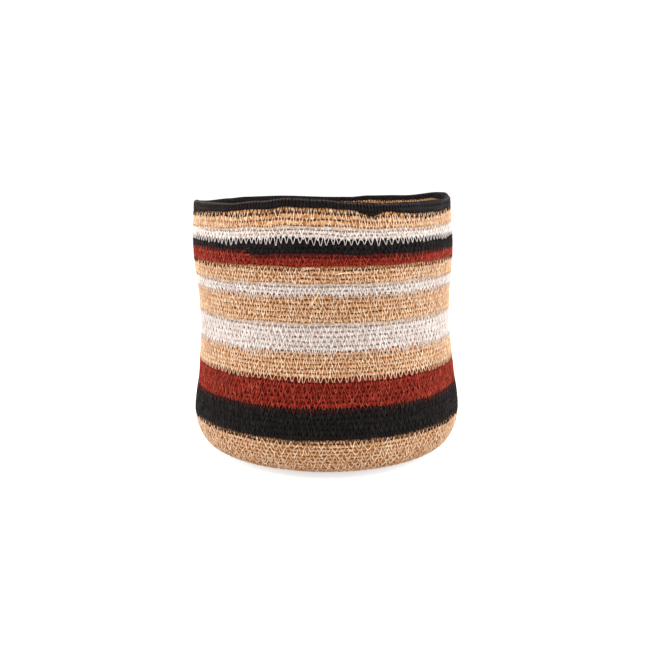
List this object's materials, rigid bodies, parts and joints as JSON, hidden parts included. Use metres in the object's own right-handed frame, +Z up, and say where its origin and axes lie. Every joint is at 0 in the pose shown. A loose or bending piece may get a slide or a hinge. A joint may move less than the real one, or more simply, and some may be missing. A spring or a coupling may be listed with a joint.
{
  "type": "coiled storage basket",
  "caption": "Round open basket of coiled, zigzag-stitched cord in natural, white, black and red bands, with a stitched black rim.",
  "frame": {"origin": "centre of the flat floor, where the basket stands", "axes": "+Z up through the open mouth, -Y towards the side that the picture shows, +X to its right"},
  "size_m": [0.2724, 0.2724, 0.2564],
  "materials": {
    "natural_cord": "undyed plant-fibre cord under natural zigzag thread",
    "white_cord": "bleached plant-fibre cord under white zigzag thread",
    "black_cord": "black dyed plant-fibre cord under black zigzag thread",
    "red_cord": "brick-red dyed plant-fibre cord under red zigzag thread",
    "black_thread": "dense black overcast thread"
  },
  "bodies": {
    "root": {"floor_natural": "natural_cord", "turn_natural": "natural_cord", "foot_natural": "natural_cord", "band_black_lower": "black_cord", "band_red_lower": "red_cord", "band_natural_lower": "natural_cord", "band_white_wide": "white_cord", "band_natural_middle": "natural_cord", "band_white_narrow": "white_cord", "band_natural_upper": "natural_cord", "band_red_upper": "red_cord", "band_black_upper": "black_cord", "band_white_upper": "white_cord", "band_natural_top": "natural_cord", "rim_core": "black_cord", "rim_stitching": "black_thread"}
  },
  "joints": []
}
